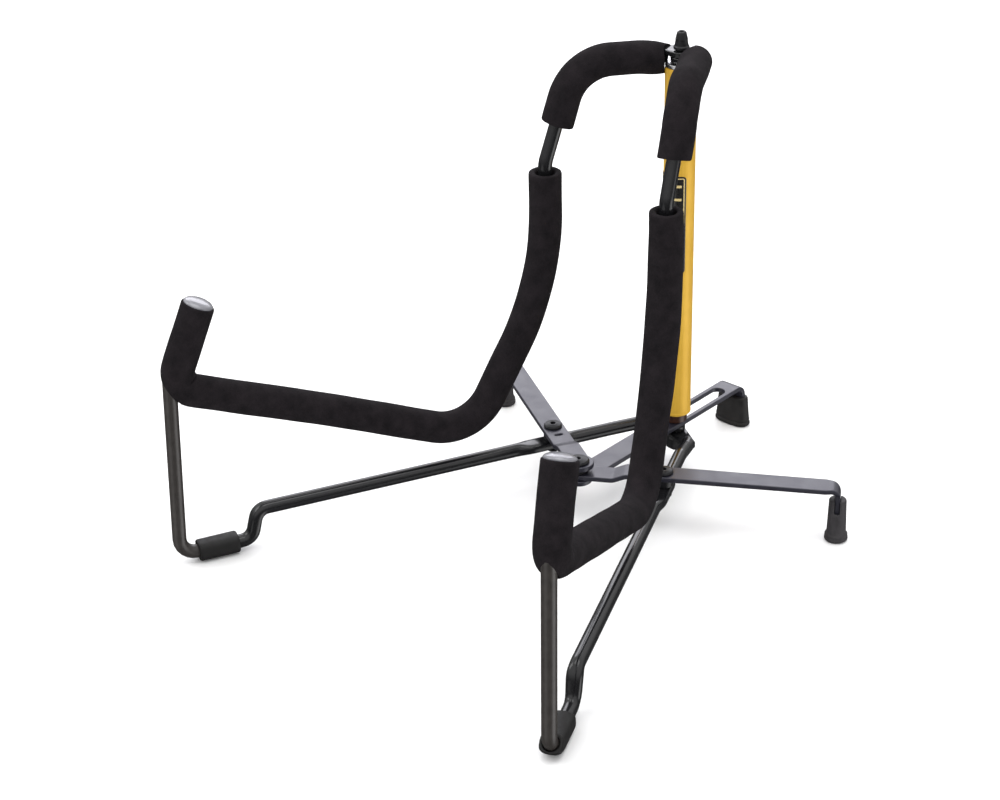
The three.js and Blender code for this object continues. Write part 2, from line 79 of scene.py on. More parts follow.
CRANK_R = 196
CRANK_BEND = 5.5
BASE_Z = 18
PAD_R = (49, 71)
STRUT_PIVOT_R = 56.5

# Foam tubes and foot sleeves. BORE pairs a depth from a tube's end with a radius, EDGE with a share of it.
FOAM_RADIUS = 7.0
FOAM_STEP = 0.9
FOAM_FACETS = 64
FOAM_BORE = ((7, 3.0), (6.6, 3.9), (0.9, 4.15), (0.25, 4.5), (0, 5.0))
FOAM_EDGE = ((0.05, 0.93), (0.25, 0.975), (0.6, 0.995))
FOAM_WAVES = 9
FOAM_WAVE_SCALE = 1.3
UPPER_FOAM_SEED = 11
LOWER_FOAM_SEED = 23
UPPER_FOAM_START = 2.4
UPPER_FOAM_CREST = (15, ARCH_Z + 0.7, 40)
UPPER_FOAM_END = (52.3, 168.2)
LOWER_FOAM_TOP = 148.4
HUB_ROOM = 7.3
HUB_ROOM_REACH = 12
HUB_DROP = {"right": -0.9, "left": 1.7}
HUB_TAPER = {"right": 0.2, "left": 0.9}
HUB_TAPER_REACH = 4.5
FOAM_SWELL = {"right": 0.45, "left": 0.1}
SWELL_AT = 45
SWELL_REACH = 32
SLEEVE_HALF_SIZE = (4.55, 4.2)
SLEEVE_BORE = 3.25
LEFT_SLEEVE_R = (204.3, 222)
RIGHT_SLEEVE_R = 209
SLEEVE_END_STEEPNESS = 0.8

# Flat bars, their front pivot and their boots.
FRONT_PIVOT_Y = -67
STRUT_REACH = 95
BAR_THICKNESS = 2.2
STRUT_WIDTH = 10
STRUT_STEP_S = (15.5, 21)
TANG_WIDTH = 5
STRAP_STEP = 0.6
TANG_FOOT_Z = 5
STRUT_Z = 23.8
LOW_STEP_Z = 21.4
HIGH_STEP_Z = 25.8
STRUT_ASKEW = {"right": 0, "left": math.radians(1.0)}
SLIDE_ASKEW = math.radians(0.7)
SLIDE_Z = 18.9
SLIDE_WIDTH = 11.0
SLIDE_NOSE = 6.2
SLIDE_REAR_Y = 47.3
SLOT_WIDTH = 6.5
SLOT_FRONT_Y = 1.2
SLOT_REAR_Y = 36.3
BOOT_HEIGHT = 19.6
SLIDE_BOOT_HEIGHT = 14.5
SLIDE_BOOT_SHIFT = 0.6

# Column and hubs.
COLUMN_RADIUS = 6.8
COLUMN_Z = (25.4, 188.6)
COLUMN_BORE = 5.4
PLUG_RADIUS = 5.1
BOLT_ROOM = 2.3
LUG_RADIUS = 4.6
LUG_WIRE_RADIUS = 3.2
LUG_THICKNESS = 2.2
LUG_GAP = 0.3
LUG_STEP = {"right": 0, "left": LUG_THICKNESS + LUG_GAP}
UPPER_LUG_Z = COLUMN_Z[1] + 2.1
LOWER_LUG_Z = SLIDE_Z - 0.7 - 2 * LUG_THICKNESS
CAP_Z = UPPER_LUG_Z + 2 * LUG_THICKNESS + 2 * LUG_GAP
NUT_Z = LOWER_LUG_Z - 6.8
LABEL_Z = (96.5, 141.5)
LABEL_SPREAD = math.radians(64)
LABEL_CORNER = 1.6

# Floor, light and camera. SKY pairs a height, from straight down to straight up, with a brightness.
FLOOR_DROP = 0.0002
SKY = ((0, 0.10), (0.42, 0.10), (0.52, 0.30), (0.66, 0.85), (0.80, 1.0), (1, 1.0))
SKY_STRENGTH = 1.25
STREAKS = (((0.83, 0.31, -0.47), 2.4), ((-0.10, -0.88, -0.47), 0.7))
STREAK_EDGE = (0.90, 0.97)
CAMERA_ANGLES = tuple(math.radians(v) for v in (43.246, 28.275, -1.463))
CAMERA_PLACE = (539.53, -688.8, 501.54)
CAMERA_LENS = 79.234

column_low, column_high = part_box("column_tube")
AXIS_X = (column_low.x + column_high.x) / 2
AXIS_Y = (column_low.y + column_high.y) / 2


def mm(x, y, z):
    """A point given in millimetres about the hinge axis, in the row frame."""
    return Vector((x * MM + AXIS_X, y * MM + AXIS_Y, z * MM))


def plan(side, r, n):
    """Plan position, in millimetres about the hinge axis, from one frame's own directions."""
    s, c = math.sin(OPEN_ANGLE[side]), math.cos(OPEN_ANGLE[side])
    return SIGN[side] * (r * s + n * c), -r * c + n * s


def place(side, r, n, z):
    """A point of one frame's own directions, in the row frame."""
    return mm(*plan(side, r, n), z)


def clamp01(t):
    return min(max(t, 0), 1)


def smoothstep(low, high, x):
    t = clamp01((x - low) / (high - low))
    return t * t * (3 - 2 * t)


def hump(x, width):
    """A smooth bump, 1 at zero and fading over about the width."""
    return math.exp(-(x / width) ** 2)


def sideways(r, z):
    """Distance of a frame's wire from the hinge's radial plane.
    The arch leans in at the hub and out at the shoulder."""
    arch = clamp01((z - SIDE_TOP[1]) / (LEAN_FULL_Z - SIDE_TOP[1]))
    lean = clamp01((r - ARCH_START) / (SHOULDER[0] - ARCH_START))
    return FRAME_OFFSET + arch * (lean * (ARCH_BULGE + ARCH_TOE_IN) - ARCH_TOE_IN)


def turns(count):
    """Equal steps round a ring, in radians."""
    return [2 * math.pi * k / count for k in range(count)]


# ---- mesh helpers

def bent(corners, step):
    """Points and directions along a plane path; an inner corner (x, y, radius) is a round bend."""
    points = [Vector(c[:2]) for c in corners]
    out = []

    def straight(a, b):
        count = max(1, math.ceil((b - a).length / step))
        for k in range(count):
            out.append((a.lerp(b, k / count), (b - a).normalized()))

    cursor = points[0]
    for i in range(1, len(points) - 1):
        before = (points[i] - points[i - 1]).normalized()
        after = (points[i + 1] - points[i]).normalized()
        turn = math.atan2(before.cross(after), before.dot(after))
        radius = corners[i][2]
        reach = radius * math.tan(abs(turn) / 2)
        start = points[i] - before * reach
        if (start - cursor).length > 1e-6:
            straight(cursor, start)
        centre = start + Vector((-before.y, before.x)) * math.copysign(radius, turn)
        count = max(6, math.ceil(radius * abs(turn) / step))
        for k in range(count):
            spin = Matrix.Rotation(turn * k / count, 2)
            out.append((centre + spin @ (start - centre), spin @ before))
        cursor = points[i] + after * reach
    last = points[-1]
    straight(cursor, last)
    out.append((last, (last - cursor).normalized()))
    return out


def path_length(path):
    return sum((b[0] - a[0]).length for a, b in zip(path, path[1:]))


def beside(side, station, a, b):
    """A point next to a station of a frame's (r, z) path: a sideways and b along the path's normal."""
    point, direction = station
    normal = Vector((-direction.y, direction.x))
    n = sideways(point.x, point.y) + a
    return place(side, point.x + normal.x * b, n, point.y + normal.y * b)


def rounded(points, radius, steps=4):
    """The same outline with its inner corners rounded."""
    out = [Vector(points[0])]
    for i in range(1, len(points) - 1):
        here = Vector(points[i])
        back = Vector(points[i - 1]) - here
        ahead = Vector(points[i + 1]) - here
        room = min(radius, back.length * 0.45, ahead.length * 0.45)
        a = here + back.normalized() * room
        b = here + ahead.normalized() * room
        for k in range(steps + 1):
            t = k / steps
            out.append(a * (1 - t) ** 2 + here * 2 * t * (1 - t) + b * t ** 2)
    out.append(Vector(points[-1]))
    return out


def new_object(name, bm):
    bmesh.ops.recalc_face_normals(bm, faces=bm.faces)
    mesh = bpy.data.meshes.new(name)
    bm.to_mesh(mesh)
    bm.free()
    obj = bpy.data.objects.new(name, mesh)
    bpy.context.scene.collection.objects.link(obj)
    return obj


def shade(obj, angle=35):
    for polygon in obj.data.polygons:
        polygon.use_smooth = True
    obj.data.set_sharp_from_angle(angle=math.radians(angle))
    return obj


def from_loops(name, loops, angle=35):
    """A closed skin over rings of points; each end is closed with a fan."""
    bm = bmesh.new()
    rings = [[bm.verts.new(p) for p in loop] for loop in loops]
    count = len(loops[0])
    for a, b in zip(rings, rings[1:]):
        for k in range(count):
            bm.faces.new((a[k], a[(k + 1) % count], b[(k + 1) % count], b[k]))
    for loop, ring in ((loops[0], rings[0]), (loops[-1], rings[-1])):
        middle = bm.verts.new(sum(loop, Vector()) / count)
        for k in range(count):
            bm.faces.new((ring[k], ring[(k + 1) % count], middle))
    return shade(new_object(name, bm), angle)


def sweep(name, side, path, section, count=40, angle=35):
    """A bar along a frame's (r, z) path; section(s, point, turn) gives (sideways, normal) offsets."""
    loops = []
    travelled = 0
    for i, station in enumerate(path):
        if i:
            travelled += (station[0] - path[i - 1][0]).length
        offsets = [section(travelled, station[0], turn) for turn in turns(count)]
        loops.append([beside(side, station, a, b) for a, b in offsets])
    return from_loops(name, loops, angle)


def super_oval(half_a, half_b, power, turn):
    c, s = math.cos(turn), math.sin(turn)
    a = half_a * math.copysign(abs(c) ** (2 / power), c)
    b = half_b * math.copysign(abs(s) ** (2 / power), s)
    return a, b


def lathe(name, profile, centre=(0, 0), soft=0.25, count=48, angle=35, basis=None):
    """Turned piece from (radius, height) points. A third value is how far the ring is hexagonal."""
    outline = rounded([Vector((p[0], p[1], p[2] if len(p) > 2 else 0)) for p in profile], soft)
    loops = []
    for radius, height, hexed in outline:
        loop = []
        for turn in turns(count):
            flat = math.cos(math.pi / 6) / math.cos((turn % (math.pi / 3)) - math.pi / 6)
            r = max(radius, 1e-3) * (1 + hexed * (flat - 1))
            point = Vector((r * math.cos(turn), r * math.sin(turn), height))
            if basis:
                loop.append(basis(point))
            else:
                loop.append(mm(point.x + centre[0], point.y + centre[1], height))
        loops.append(loop)
    return from_loops(name, loops, angle)


def ring_lathe(name, profile, centre=(0, 0), soft=0.22, count=56):
    """Turned piece whose profile closes on itself, so it has a bore."""
    outline = rounded(profile, soft)[:-1]
    bm = bmesh.new()
    rings = []
    for radius, height in outline:
        ring = []
        for turn in turns(count):
            x, y = radius * math.cos(turn), radius * math.sin(turn)
            ring.append(bm.verts.new(mm(x + centre[0], y + centre[1], height)))
        rings.append(ring)
    for i, a in enumerate(rings):
        b = rings[(i + 1) % len(rings)]
        for k in range(count):
            bm.faces.new((a[k], a[(k + 1) % count], b[(k + 1) % count], b[k]))
    return shade(new_object(name, bm))


def outline_plate(name, splines, thickness, edge):
    """A flat plate with rounded edges from closed outlines; the first is the rim and the rest are holes.
    It is made in millimetres about z = 0."""
    curve = bpy.data.curves.new(name, "CURVE")
    curve.dimensions = "2D"
    curve.fill_mode = "BOTH"
    curve.extrude = thickness / 2 - edge
    curve.bevel_depth = edge
    curve.offset = -edge
    curve.bevel_resolution = 2
    for points in splines:
        spline = curve.splines.new("POLY")
        spline.points.add(len(points) - 1)
        for item, point in zip(spline.points, points):
            item.co = (point[0], point[1], 0, 1)
        spline.use_cyclic_u = True
    holder = bpy.data.objects.new(name + "_outline", curve)
    bpy.context.scene.collection.objects.link(holder)
    depsgraph = bpy.context.evaluated_depsgraph_get()
    mesh = bpy.data.meshes.new_from_object(holder.evaluated_get(depsgraph))
    bpy.data.objects.remove(holder)
    bpy.data.curves.remove(curve)
    bm = bmesh.new()
    bm.from_mesh(mesh)
    bpy.data.meshes.remove(mesh)
    bmesh.ops.remove_doubles(bm, verts=bm.verts, dist=1e-3)
    return bm


def sliced(bm, x):
    """Adds a cut across a flat plate, so that it can bend there."""
    geom = bm.verts[:] + bm.edges[:] + bm.faces[:]
    bmesh.ops.bisect_plane(bm, geom=geom, plane_co=(x, 0, 0), plane_no=(1, 0, 0), dist=1e-4)


def arc(centre, radius, start, end, steps):
    """Points of an arc, angles in degrees."""
    angles = [math.radians(start + (end - start) * k / steps) for k in range(steps + 1)]
    return [Vector((centre[0] + radius * math.cos(a), centre[1] + radius * math.sin(a))) for a in angles]


def circle(centre, radius, steps=40):
    return arc(centre, radius, 0, 360 * (steps - 1) / steps, steps - 1)


def weighted(obj):
    """Flat faces keep their shading beside rounded edges."""
    modifier = obj.modifiers.new("weighted", "WEIGHTED_NORMAL")
    modifier.keep_sharp = True
    modifier.weight = 80
    return apply_all(obj)


def apply_all(obj):
    """Puts an object's modifiers into its mesh."""
    depsgraph = bpy.context.evaluated_depsgraph_get()
    mesh = bpy.data.meshes.new_from_object(obj.evaluated_get(depsgraph))
    obj.modifiers.clear()
    obj.data = mesh
    return obj


def merge(name, *objects):
    """One object from several closed skins."""
    bm = bmesh.new()
    for obj in objects:
        bm.from_mesh(obj.data)
        bpy.data.objects.remove(obj)
    obj = new_object(name, bm)
    return shade(obj)


def carve(obj, *cutters):
    """Cuts each cutter out of a piece and removes the cutter."""
    for cutter in cutters:
        modifier = obj.modifiers.new("cut", "BOOLEAN")
        modifier.operation = "DIFFERENCE"
        modifier.solver = "EXACT"
        modifier.object = cutter
        apply_all(obj)
        bpy.data.objects.remove(cutter)
    return obj


def moulded(obj, voxel, relax):
    """Softens every edge, as on a rubber moulding."""
    remesh = obj.modifiers.new("remesh", "REMESH")
    remesh.mode = "VOXEL"
    remesh.voxel_size = voxel * MM
    smooth = obj.modifiers.new("smooth", "SMOOTH")
    smooth.factor = 0.5
    smooth.iterations = relax
    apply_all(obj)
    return shade(obj, 60)


def block(name, low, high, to_world):
    """A plain cutter between two corners in a piece's own millimetres."""
    bm = bmesh.new()
    bmesh.ops.create_cube(bm, size=1)
    for v in bm.verts:
        v.co = to_world(*[low[i] + (v.co[i] + 0.5) * (high[i] - low[i]) for i in range(3)])
    return new_object(name, bm)


# ---- materials

class Paint:
    """A principled material and short ways to add procedural detail to it."""

    def __init__(self, name, colour, roughness, metallic=0.0, specular=0.5, **sockets):
        self.material = bpy.data.materials.new(name)
        self.material.use_nodes = True
        self.nodes = self.material.node_tree.nodes
        self.links = self.material.node_tree.links
        self.shader = self.nodes["Principled BSDF"]
        self.coords = self.nodes.new("ShaderNodeTexCoord").outputs["Object"]
        sockets |= {"Base_Color": (*colour, 1), "Roughness": roughness, "Metallic": metallic,
                    "Specular_IOR_Level": specular}
        for key, value in sockets.items():
            self.shader.inputs[key.replace("_", " ")].default_value = value
        self.height = None

    def node(self, kind, **settings):
        node = self.nodes.new(kind)
        for key, value in settings.items():
            setattr(node, key, value)
        return node

    def scaled(self, x, y, z):
        node = self.node("ShaderNodeMapping")
        node.inputs["Scale"].default_value = (x, y, z)
        self.links.new(self.coords, node.inputs["Vector"])
        return node.outputs["Vector"]

    def noise(self, scale, detail=3.0, rough=0.55, coords=None):
        node = self.node("ShaderNodeTexNoise")
        node.inputs["Scale"].default_value = scale
        node.inputs["Detail"].default_value = detail
        node.inputs["Roughness"].default_value = rough
        self.links.new(coords or self.coords, node.inputs["Vector"])
        return node.outputs["Fac"]

    def cells(self, scale, coords=None):
        node = self.node("ShaderNodeTexVoronoi")
        node.inputs["Scale"].default_value = scale
        self.links.new(coords or self.coords, node.inputs["Vector"])
        return node.outputs["Distance"]

    def span(self, value, low, high, out_low, out_high):
        node = self.node("ShaderNodeMapRange")
        ends = {"From Min": low, "From Max": high, "To Min": out_low, "To Max": out_high}
        for key, end in ends.items():
            node.inputs[key].default_value = end
        self.links.new(value, node.inputs["Value"])
        return node.outputs["Result"]

    def math(self, operation, a, b=None, c=None):
        node = self.node("ShaderNodeMath", operation=operation)
        for socket, value in zip(node.inputs, (a, b, c)):
            if value is None:
                continue
            if isinstance(value, (int, float)):
                socket.default_value = value
            else:
                self.links.new(value, socket)
        return node.outputs[0]

    def mix(self, factor, a, b):
        node = self.node("ShaderNodeMix", data_type="RGBA")
        self.links.new(factor, node.inputs["Factor"])
        for key, value in (("A", a), ("B", b)):
            socket = [i for i in node.inputs if i.name == key and i.type == "RGBA"][0]
            if isinstance(value, tuple):
                socket.default_value = (*value, 1)
            else:
                self.links.new(value, socket)
        return [o for o in node.outputs if o.type == "RGBA"][0]

    def colour(self, value):
        self.links.new(value, self.shader.inputs["Base Color"])

    def tones(self, value, dark, light, low=0.3, high=0.7):
        """Colours the piece from dark to light as the value runs from low to high."""
        self.colour(self.mix(self.span(value, low, high, 0, 1), dark, light))

    def rough(self, value, out_low, out_high):
        """Roughness over the middle of a noise's values."""
        self.links.new(self.span(value, 0.3, 0.7, out_low, out_high), self.shader.inputs["Roughness"])

    def bump(self, value, depth_mm, strength=1.0):
        """Adds a layer of relief on top of those already there."""
        node = self.node("ShaderNodeBump")
        node.inputs["Distance"].default_value = depth_mm * MM
        node.inputs["Strength"].default_value = strength
        self.links.new(value, node.inputs["Height"])
        if self.height:
            self.links.new(self.height, node.inputs["Normal"])
        self.height = node.outputs["Normal"]
        self.links.new(self.height, self.shader.inputs["Normal"])


def make_foam():
    paint = Paint("foam", (0.011, 0.009, 0.010), 0.95, specular=0.10)
    mottle = paint.noise(160, 4, 0.6)
    grain = paint.noise(2600, 3, 0.7)
    tone = paint.math("ADD", paint.math("MULTIPLY", mottle, 0.65), paint.math("MULTIPLY", grain, 0.35))
    paint.tones(tone, (0.007, 0.006, 0.007), (0.016, 0.013, 0.015), 0.35, 0.65)
    paint.bump(mottle, 0.25, 0.35)
    paint.bump(paint.cells(1900), 0.16, 0.55)
    paint.bump(grain, 0.12, 0.6)
    return paint.material


def make_gloss():
    paint = Paint("gloss_black", (0.006, 0.006, 0.008), 0.2, specular=0.42)
    peel = paint.noise(420, 2, 0.5)
    fine = paint.noise(2600, 3, 0.6)
    paint.rough(paint.noise(240, 4, 0.65), 0.13, 0.24)
    paint.tones(fine, (0.005, 0.005, 0.006), (0.011, 0.011, 0.012))
    paint.bump(peel, 0.04, 0.25)
    paint.bump(fine, 0.012, 0.25)
    return paint.material


def make_satin():
    paint = Paint("satin_black", (0.022, 0.021, 0.028), 0.36, metallic=0.25, specular=0.7)
    fleck = paint.noise(3200, 3, 0.7)
    wear = paint.noise(130, 5, 0.7)
    paint.tones(wear, (0.017, 0.017, 0.028), (0.030, 0.029, 0.044), 0.35, 0.7)
    paint.rough(wear, 0.30, 0.46)
    paint.bump(fleck, 0.05, 0.45)
    paint.bump(paint.noise(500, 2), 0.06, 0.25)
    return paint.material


def make_leg():
    paint = Paint("leg_grey", (0.030, 0.026, 0.023), 0.34, specular=0.45)
    wear = paint.noise(260, 5, 0.65)
    fleck = paint.noise(3000, 3, 0.7)
    paint.tones(wear, (0.023, 0.020, 0.018), (0.038, 0.033, 0.030))
    paint.rough(fleck, 0.30, 0.42)
    paint.bump(fleck, 0.04, 0.35)
    return paint.material


def make_rubber(name, dark, light):
    paint = Paint(name, dark, 0.62, specular=0.3)
    mottle = paint.noise(330, 4, 0.6)
    grain = paint.noise(3600, 2, 0.6)
    paint.tones(mottle, dark, light)
    paint.rough(mottle, 0.52, 0.74)
    paint.bump(grain, 0.06, 0.5)
    return paint.material


def make_plastic(name, dark, light, specular):
    paint = Paint(name, dark, 0.35, specular=specular)
    grain = paint.noise(2400, 3, 0.6)
    paint.tones(paint.noise(300, 3), dark, light)
    paint.rough(grain, 0.28, 0.42)
    paint.bump(grain, 0.05, 0.4)
    return paint.material


def make_bright():
    paint = Paint("bright_metal", (0.62, 0.62, 0.64), 0.22, metallic=1.0)
    turned = paint.noise(900, 4, 0.7, paint.scaled(1, 1, 6))
    paint.tones(turned, (0.50, 0.50, 0.53), (0.74, 0.74, 0.76))
    paint.rough(turned, 0.16, 0.32)
    paint.bump(turned, 0.03, 0.4)
    return paint.material


def make_cap():
    paint = Paint("finger_cap", (0.20, 0.20, 0.215), 0.3, metallic=0.1, specular=0.5,
                  Coat_Weight=0.3, Coat_Roughness=0.16)
    cloud = paint.noise(300, 4, 0.6)
    paint.tones(cloud, (0.16, 0.16, 0.18), (0.22, 0.22, 0.24))
    paint.rough(cloud, 0.14, 0.3)
    paint.bump(paint.noise(1400, 3), 0.04, 0.4)
    return paint.material


def make_amber():
    paint = Paint("amber_column", (0.64, 0.375, 0.043), 0.42, metallic=0.12, specular=0.2)
    drawn = paint.noise(1500, 4, 0.7, paint.scaled(1, 1, 0.02))
    cloud = paint.noise(90, 3, 0.5)
    tone = paint.math("ADD", paint.math("MULTIPLY", drawn, 0.5), paint.math("MULTIPLY", cloud, 0.5))
    paint.tones(tone, (0.61, 0.355, 0.036), (0.72, 0.43, 0.054), 0.35, 0.65)
    paint.rough(drawn, 0.28, 0.42)
    paint.bump(drawn, 0.03, 0.35)
    return paint.material


def make_label():
    """Black film with a thin cream line set in from its edge and three plain cream bars."""
    film, cream = (0.012, 0.011, 0.010), (0.70, 0.55, 0.24)
    line_inset, line_half = 0.95, 0.22
    bar_pitch, bar_half = 3.0, 0.55
    bars_z, bars_half, bars_inset = 13, 7.2, 2.0
    half_a = COLUMN_RADIUS * LABEL_SPREAD
    half_z = (LABEL_Z[1] - LABEL_Z[0]) / 2
    paint = Paint("label_film", film, 0.3, specular=0.5, Coat_Weight=0.4, Coat_Roughness=0.1)

    def minus(a, b):
        return paint.math("SUBTRACT", a, b)

    def times(a, b):
        return paint.math("MULTIPLY", a, b)

    def size(a):
        return paint.math("ABSOLUTE", a)

    def below(a, limit):
        return paint.math("LESS_THAN", a, limit)

    split = paint.node("ShaderNodeSeparateXYZ")
    paint.links.new(paint.coords, split.inputs[0])
    x, y, z = split.outputs
    turn = paint.math("ARCTAN2", minus(x, AXIS_X), minus(AXIS_Y, y))
    across = size(times(turn, COLUMN_RADIUS))
    along = minus(times(z, 1 / MM), sum(LABEL_Z) / 2)
    corner_a = paint.math("MAXIMUM", minus(across, half_a - LABEL_CORNER), 0)
    corner_z = paint.math("MAXIMUM", minus(size(along), half_z - LABEL_CORNER), 0)
    reach = paint.math("SQRT", paint.math("ADD", times(corner_a, corner_a), times(corner_z, corner_z)))
    straight = paint.math("MINIMUM", minus(half_a, across), minus(half_z, size(along)))
    depth = paint.math("MINIMUM", minus(LABEL_CORNER, reach), straight)
    line = below(size(minus(depth, line_inset)), line_half)
    bars = below(paint.math("PINGPONG", along, bar_pitch), bar_half)
    room = times(below(across, half_a - bars_inset), below(size(minus(along, bars_z)), bars_half))
    ink = paint.math("MAXIMUM", line, times(bars, room))
    wear = paint.span(paint.noise(2200, 3), 0.3, 0.5, 0.75, 1)
    paint.colour(paint.mix(times(ink, wear), film, cream))
    paint.rough(paint.noise(700, 3), 0.22, 0.38)
    paint.bump(ink, 0.03, 0.5)
    return paint.material


finish = {
    "foam": make_foam(),
    "black": make_gloss(),
    "satin": make_satin(),
    "leg": make_leg(),
    "rubber": make_rubber("rubber", (0.010, 0.009, 0.009), (0.019, 0.018, 0.018)),
    "sleeve": make_rubber("sleeve_rubber", (0.005, 0.005, 0.005), (0.011, 0.010, 0.010)),
    "tip": make_rubber("tip_rubber", (0.026, 0.024, 0.026), (0.042, 0.039, 0.042)),
    "plastic": make_plastic("black_plastic", (0.007, 0.007, 0.008), (0.013, 0.013, 0.015), 0.3),
    "head": make_plastic("black_hardware", (0.006, 0.006, 0.007), (0.012, 0.012, 0.014), 0.18),
    "bright": make_bright(),
    "cap": make_cap(),
    "amber": make_amber(),
    "label": make_label(),
    # The collar is black; its red-brown colour is a painted reflection of the amber column above it.
    "collar": make_plastic("collar_painted_amber_reflection", (0.030, 0.010, 0.006), (0.055, 0.020, 0.010), 0.4),
}


def finished(obj, body, slot, nodes, look=None):
    """Paints a piece, rides it on its body and lets it stand for its CAD nodes."""
    obj.data.materials.clear()
    obj.data.materials.append(finish[look or slot])
    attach(obj, body)
    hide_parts(*nodes)
    return obj


# ---- frames

def round_bar(s, point, turn):
    return ROD_RADIUS * math.cos(turn), ROD_RADIUS * math.sin(turn)


def lug(name, side, low, reach):
    """The hinge link at a wire's end: a straight plate from the hinge axis to the wire."""
    far = Vector((reach, sideways(reach, low)))
    span = far.length
    lean = math.degrees(math.acos((LUG_RADIUS - LUG_WIRE_RADIUS) / span))
    outline = arc((0, 0), LUG_RADIUS, lean, 360 - lean, 30)
    outline += arc((span, 0), LUG_WIRE_RADIUS, -lean, lean, 14)
    bm = outline_plate(name, [outline, circle((0, 0), BOLT_ROOM)], LUG_THICKNESS, 0.35)
    spin = Matrix.Rotation(far.angle_signed(Vector((1, 0))), 2)
    for v in bm.verts:
        r, n = spin @ v.co.xy
        v.co = place(side, r, n, low + LUG_THICKNESS / 2 + v.co.z)
    return shade(new_object(name, bm))


def cradle(side):
    """Corners of the wire below the yoke; the two frames differ by a hair at the lower bend."""
    r, z, radius = CRADLE_BEND
    z += CRADLE_SAG[side]
    half_way = ((r + ELBOW[0]) / 2, (z + ELBOW[1]) / 2 + ARM_BOW[side], ARM_BOW_RADIUS)
    return [SIDE_BOW, (r, z, radius), half_way, ELBOW, FINGER_TIP]


def yoke_wire(side):
    path = bent([(ARCH_START - 0.5, ARCH_Z), SHOULDER, SIDE_TOP, *cradle(side)], 2.0)
    rod = sweep("rod", side, path, round_bar, 32)
    link = lug("link", side, UPPER_LUG_Z + LUG_STEP[side], ARCH_START)
    return merge(f"{side}_yoke_wire", rod, link)


def leg_wire(side):
    path = bent([LEG_TOP, (LEG_R, FOOT_Z, LEG_BEND), (ROD_SPLIT_R + 0.2, FOOT_Z)], 2.0)
    return sweep(f"{side}_leg_wire", side, path, round_bar, 40)


def base_section(s, point, turn):
    """Round wire, pressed flat round the strut rivet, and nipped by the bending tool at the crank."""
    r = point.x
    flat = smoothstep(PAD_R[0] - 3, PAD_R[0] + 4, r) * (1 - smoothstep(PAD_R[1] - 4, PAD_R[1] + 3, r))
    nip = hump(r - CRANK_R + 0.6, 2.2)
    half_a = ROD_RADIUS * (1 + 0.38 * flat + 0.10 * nip)
    half_b = ROD_RADIUS * (1 - 0.27 * flat - 0.12 * nip)
    return super_oval(half_a, half_b, 2 + 1.4 * flat + 0.9 * nip, turn)


def base_wire(side):
    link_low = LOWER_LUG_Z + LUG_STEP[side]
    end_z = link_low + LUG_THICKNESS / 2 + 0.4
    crank = [(CRANK_R + 2, FOOT_Z, CRANK_BEND), (CRANK_R - 1.4, BASE_Z, CRANK_BEND)]
    hub_end = [(26.5, BASE_Z, 12), (14, end_z, 8), (10.5, end_z)]
    path = bent([(ROD_SPLIT_R, FOOT_Z), *crank, *hub_end], 1.5)
    rod = sweep("rod", side, path, base_section, 40)
    link = lug("link", side, link_low, 11)
    return merge(f"{side}_base_wire", rod, link)


def length_at(path, corner):
    """Length along a path to its station nearest a corner."""
    travelled = 0
    nearest = None
    for (a, _), (b, _) in zip(path, path[1:]):
        travelled += (b - a).length
        gap = (b - Vector(corner[:2])).length
        if nearest is None or gap < nearest[0]:
            nearest = (gap, travelled)
    return nearest[1]


def crease(gap, turn):
    """Change in a foam's radius near an elbow: lips and a fold inside the bend, stretch outside it."""
    inner = max(0, math.sin(turn)) ** 1.5
    outer = max(0, -math.sin(turn))
    lips = 0.7 * hump(gap, 5.0)
    fold = 1.7 * hump(gap, 0.9)
    stretch = 0.35 * hump(gap, 6)
    return inner * (lips - fold) - outer * stretch


def foam_tube(name, side, corners, elbow, seed):
    """Foam sleeve with squared, slightly flared ends, open round the wire, and creased at a tight bend."""
    path = bent(corners, FOAM_STEP)
    total = path_length(path)
    rng = random.Random(seed)
    waves = [
        (rng.uniform(0.012, 0.06), rng.uniform(0, 6.3), rng.choice((0, 1, 1, 2)), rng.uniform(0.01, 0.035))
        for _ in range(FOAM_WAVES)
    ]
    crease_at = length_at(path, elbow) if elbow else None

    def radius(s, turn):
        value = FOAM_RADIUS
        if not elbow:
            value -= HUB_TAPER[side] * hump(s, HUB_TAPER_REACH)
        for rate, phase, lobes, size in waves:
            value += size * math.sin(rate * s * 2 * math.pi / FOAM_WAVE_SCALE + phase + lobes * turn)
        if elbow:
            value += FOAM_SWELL[side] * hump(s - SWELL_AT, SWELL_REACH) + crease(s - crease_at, turn)
        return value

    def ring(station, by, s, factor=1, bore=None):
        point, direction = station
        moved = (point + direction * by, direction)
        loop = []
        for turn in turns(FOAM_FACETS):
            rho = bore if bore else radius(s, turn) * factor
            loop.append(beside(side, moved, rho * math.cos(turn), rho * math.sin(turn)))
        return loop

    first, last = path[0], path[-1]
    loops = [ring(first, by, 0, bore=bore) for by, bore in FOAM_BORE]
    loops += [ring(first, by, by, factor) for by, factor in FOAM_EDGE]
    travelled = 0
    for before, station in zip(path, path[1:-1]):
        travelled += (station[0] - before[0]).length
        if FOAM_STEP < travelled < total - FOAM_STEP:
            loops.append(ring(station, 0, travelled))
    loops += [ring(last, -by, total, factor) for by, factor in reversed(FOAM_EDGE)]
    loops += [ring(last, -by, total, bore=bore) for by, bore in reversed(FOAM_BORE)]
    return from_loops(name, loops, 50)


